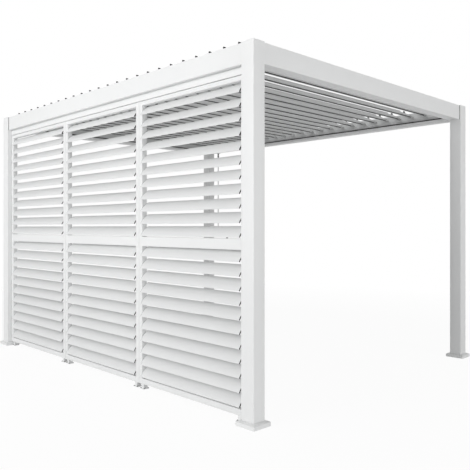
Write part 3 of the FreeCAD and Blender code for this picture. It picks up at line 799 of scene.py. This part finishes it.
# Side panels: three welded frames of white box section with a middle rail, each with 22 curved slats.
# The slats are fixed and curve in towards their upper edges. Thin black caps close their ends, and the
# right-hand ones stand a little proud.
PANEL_GAP = 0.002
PANEL_LONG = (2 * INNER_X - 4 * PANEL_GAP) / 3
PANEL_DEPTH = TRACK_DEPTH
PANEL_LOW = 0.0375
PANEL_TOP = 2.2045
FIRST_MIDDLE = -INNER_X + PANEL_GAP + PANEL_LONG / 2
PANEL_MIDDLES = [FIRST_MIDDLE + i * (PANEL_LONG + PANEL_GAP) for i in range(3)]
STILE = 0.040
BAR_ROUND = 0.0015
BAR_EDGE = 0.0004
RAILS = ((PANEL_LOW, 0.0795), (1.094, 1.166), (2.174, PANEL_TOP))
TONGUE_FROM = 0.0165
TONGUE_TO = 0.0285
TONGUE_TALL = 0.0095
BAYS = ((0.0930, 1.0915), (1.1725, 2.1715))
SLATS = 11
SLAT_TALL = 0.071
SLAT_DEEP = 0.0755
SLAT_BEND = math.radians(38)
SLAT_THICK = 0.006
SLAT_PROUD = 0.0135
SLAT_CLEAR = 0.0006
SLAT_EDGE = 0.0012
SLAT_CAP = 0.0012
SLAT_CAP_PROUD = 0.0024
SLAT_COAT = powder_coat("slat_powder_coat", (0.79, 0.797, 0.797), rough=0.4)


def slat_outline(thick):
    """Curved slat, steep at its low front edge and nearly flat at its high back edge, with soft edges."""
    lean = math.atan2(SLAT_TALL, SLAT_DEEP)
    steep = lean + SLAT_BEND / 2
    radius = math.hypot(SLAT_TALL, SLAT_DEEP) / (2 * math.sin(SLAT_BEND / 2))
    steps = 20
    outer = []
    inner = []
    for step in range(steps + 1):
        angle = steep - SLAT_BEND * step / steps
        for side, reach in ((outer, radius + thick / 2), (inner, radius - thick / 2)):
            side.append((radius * math.sin(steep) - reach * math.sin(angle),
                         reach * math.cos(angle) - radius * math.cos(steep)))
    radii = [SLAT_EDGE] + [0] * (steps - 1) + [SLAT_EDGE, SLAT_EDGE] + [0] * (steps - 1) + [SLAT_EDGE]
    return rounded(outer + inner[::-1], radii, 3)


SLAT_SECTION = slat_outline(SLAT_THICK)
CAP_SECTION = slat_outline(SLAT_THICK + SLAT_CAP_PROUD)
SLAT_DROP = min(z for x, z in SLAT_SECTION)
SLAT_RISE = max(z for x, z in SLAT_SECTION)
SLAT_LONG = PANEL_LONG - 2 * STILE - SLAT_CLEAR - 2 * SLAT_CAP
LENGTHWISE = (0, 0, 90)
stile_section = [rounded(block(0, STILE, 0, PANEL_DEPTH), BAR_ROUND, 3)]
tongue_section = [block(TONGUE_FROM, TONGUE_TO, PANEL_TOP, PANEL_TOP + TONGUE_TALL)]

for number, middle in enumerate(PANEL_MIDDLES, 1):
    half = PANEL_LONG / 2
    front = (middle, TRACK_FRONT, 0)
    bars = []
    for left in (middle - half, middle + half - STILE):
        place = (left, TRACK_FRONT + PANEL_DEPTH, (PANEL_TOP + PANEL_LOW) / 2)
        bars.append(cut_length(stile_section, PANEL_TOP - PANEL_LOW, place, (90, 0, 0), material=WHITE_COAT))
    for low, high in RAILS:
        rail = [rounded(block(0, PANEL_DEPTH, low, high), BAR_ROUND, 3)]
        bars.append(cut_length(rail, PANEL_LONG - 2 * STILE, front, LENGTHWISE, material=WHITE_COAT))
    bars.append(cut_length(tongue_section, PANEL_LONG, front, LENGTHWISE, material=WHITE_COAT))
    piece("panel_%d_bars" % number, bars, "structure", "panel_%d_frame" % number,
          bevel=BAR_EDGE)
    slats = []
    plugs = []
    for low, high in BAYS:
        step = (0, 0, (high - low - SLAT_RISE + SLAT_DROP) / (SLATS - 1))
        first = (middle, TRACK_FRONT - SLAT_PROUD, low - SLAT_DROP)
        slats.append(cut_length([SLAT_SECTION], SLAT_LONG, first, LENGTHWISE, step, SLATS, SLAT_COAT))
        for side, section in ((-1, SLAT_SECTION), (1, CAP_SECTION)):
            place = (middle + side * (SLAT_LONG / 2 + SLAT_CAP / 2), first[1], first[2])
            plugs.append(cut_length([section], SLAT_CAP, place, LENGTHWISE, step, SLATS, BLACK_MOULDING))
    piece("panel_%d_blades" % number, slats, "structure", "panel_%d_slats" % number)
    piece("panel_%d_plugs" % number, plugs, "structure")


# Panel feet: flanged feet with a short neck near each panel's ends, in the frames' white coat.
# Those beside a post stand just clear of its skirt. Four near-black round-headed screws hold each flange
# down, one at each corner clear of the neck; their near-black heads draw the dark marks beside each foot.
FOOT_FROM_END = 0.042
FOOT_LIMIT = 1.640
FOOT_MIDDLE = TRACK_FRONT + PANEL_DEPTH / 2
FOOT_FLANGE = 0.004
SCREWS_ALONG = 0.039
SCREWS_ACROSS = 0.042
# Near-black screw heads: they draw the dark marks beside each foot.
NEAR_BLACK_HEADS = galvanised("near_black_screw_heads", (0.07, 0.07, 0.072))
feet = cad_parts["panel_feet"]
feet.data.materials.clear()
feet.data.materials.append(WHITE_COAT)

dark_screw = spun([
    (0, 0), (0.0045, 0), (0.0046, 0.0008), (0.0042, 0.0024), (0.0032, 0.0036), (0.0018, 0.0041),
    (0.0014, 0.0041), (0.0012, 0.0024), (0, 0.0024),
], SCREW_SIDES)
foot_screws = []
for middle in PANEL_MIDDLES:
    for side in (-1, 1):
        x = max(-FOOT_LIMIT, min(FOOT_LIMIT, middle + side * (PANEL_LONG / 2 - FOOT_FROM_END)))
        for y in (FOOT_MIDDLE - SCREWS_ACROSS / 2, FOOT_MIDDLE + SCREWS_ACROSS / 2):
            first = (x - SCREWS_ALONG / 2, y, FOOT_FLANGE)
            foot_screws.append(row_of(dark_screw, first, NEAR_BLACK_HEADS, step=(SCREWS_ALONG, 0, 0), count=2))
piece("foot_screws", foot_screws, "structure")


# Studio: a white floor that keeps the pergola's soft shadow, a white surround and soft lamps.
# The camera stands at eye height off the front right corner, as in the photograph.
FLOOR_SIZE = 60
FLOOR_LEVEL = -0.0004
FLOOR_BOUNCE = 1.0
FLOOR_SEEN = 0.9
FLOOR_WHITE = 0.95
FADE_FROM = 3.0
FADE_TO = 7.0
SKY_LIGHT = 0.32
floor_corners = block(-FLOOR_SIZE, FLOOR_SIZE, -FLOOR_SIZE, FLOOR_SIZE)
floor_mesh = bpy.data.meshes.new("floor")
floor_mesh.from_pydata([(x, y, FLOOR_LEVEL) for x, y in floor_corners], [], [(0, 1, 2, 3)])
floor = bpy.data.objects.new("floor", floor_mesh)
bpy.context.collection.objects.link(floor)
paper = bpy.data.materials.new("white_floor")
paper.use_nodes = True
nodes = paper.node_tree.nodes
links = paper.node_tree.links
nodes.clear()


def seen_directly(nodes, links):
    """1 for camera, glossy and transmission rays, and 0 for the rays that light the object."""
    ray = nodes.new("ShaderNodeLightPath")
    first = nodes.new("ShaderNodeMath")
    first.operation = "MAXIMUM"
    both = nodes.new("ShaderNodeMath")
    both.operation = "MAXIMUM"
    links.new(ray.outputs["Is Camera Ray"], first.inputs[0])
    links.new(ray.outputs["Is Glossy Ray"], first.inputs[1])
    links.new(first.outputs[0], both.inputs[0])
    links.new(ray.outputs["Is Transmission Ray"], both.inputs[1])
    return both.outputs[0]


def mapped(nodes, links, value, low_in, high_in, low_out, high_out):
    """The value moved from one range to another."""
    scale = nodes.new("ShaderNodeMapRange")
    scale.inputs["From Min"].default_value = low_in
    scale.inputs["From Max"].default_value = high_in
    scale.inputs["To Min"].default_value = low_out
    scale.inputs["To Max"].default_value = high_out
    links.new(value, scale.inputs["Value"])
    return scale.outputs["Result"]


seen = seen_directly(nodes, links)
out = nodes.new("ShaderNodeOutputMaterial")
matt = nodes.new("ShaderNodeBsdfDiffuse")
tint = mapped(nodes, links, seen, 0, 1, FLOOR_BOUNCE, FLOOR_SEEN)
links.new(tint, matt.inputs["Color"])
bright = nodes.new("ShaderNodeEmission")
place = nodes.new("ShaderNodeTexCoord")
away = nodes.new("ShaderNodeVectorMath")
away.operation = "LENGTH"
links.new(place.outputs["Object"], away.inputs[0])
share = mapped(nodes, links, away.outputs["Value"], FADE_FROM, FADE_TO, FLOOR_WHITE, 1.0)
only_seen = nodes.new("ShaderNodeMath")
only_seen.operation = "MULTIPLY"
links.new(share, only_seen.inputs[0])
links.new(seen, only_seen.inputs[1])
blend = nodes.new("ShaderNodeMixShader")
links.new(only_seen.outputs[0], blend.inputs["Fac"])
links.new(matt.outputs[0], blend.inputs[1])
links.new(bright.outputs[0], blend.inputs[2])
links.new(blend.outputs[0], out.inputs["Surface"])
floor_mesh.materials.append(paper)

world = bpy.context.scene.world or bpy.data.worlds.new("surround")
bpy.context.scene.world = world
world.use_nodes = True
nodes = world.node_tree.nodes
links = world.node_tree.links
nodes.clear()
out = nodes.new("ShaderNodeOutputWorld")
sky = nodes.new("ShaderNodeBackground")
sky.inputs["Color"].default_value = (1, 1, 1, 1)
links.new(mapped(nodes, links, seen_directly(nodes, links), 0, 1, SKY_LIGHT, 1.0), sky.inputs["Strength"])
links.new(sky.outputs[0], out.inputs["Surface"])


LAMP_SIDE = 5.0
LAMP_AIM = (0, 0, 1.2)


def soft_lamp(name, place, power):
    """Large square lamp that shines at the middle of the pergola."""
    lamp = bpy.data.lights.new(name, "AREA")
    lamp.shape = "SQUARE"
    lamp.size = LAMP_SIDE
    lamp.energy = power
    holder = bpy.data.objects.new(name, lamp)
    holder.location = place
    holder.rotation_euler = (Vector(LAMP_AIM) - Vector(place)).to_track_quat("-Z", "Y").to_euler()
    bpy.context.collection.objects.link(holder)


soft_lamp("high_front_lamp", (-1.0, -8.0, 4.5), 190)
soft_lamp("low_front_lamp", (1.0, -9.0, 1.8), 232)
soft_lamp("right_lamp", (11.0, -1.0, 2.4), 340)

EYE_HEIGHT = 1.2386
VIEW_TURN = math.atan2(0.7352, 0.6778)
lens = bpy.data.cameras.new("studio_camera")
lens.sensor_width = 36
lens.lens = 44.77
lens.shift_x = 0.0648
lens.shift_y = -0.0164
lens.clip_end = 200
camera = bpy.data.objects.new("studio_camera", lens)
camera.location = (4.226, -4.144, EYE_HEIGHT)
camera.rotation_euler = (math.radians(90), 0, VIEW_TURN)
bpy.context.collection.objects.link(camera)
bpy.context.scene.camera = camera
bpy.context.scene.view_settings.view_transform = "Standard"
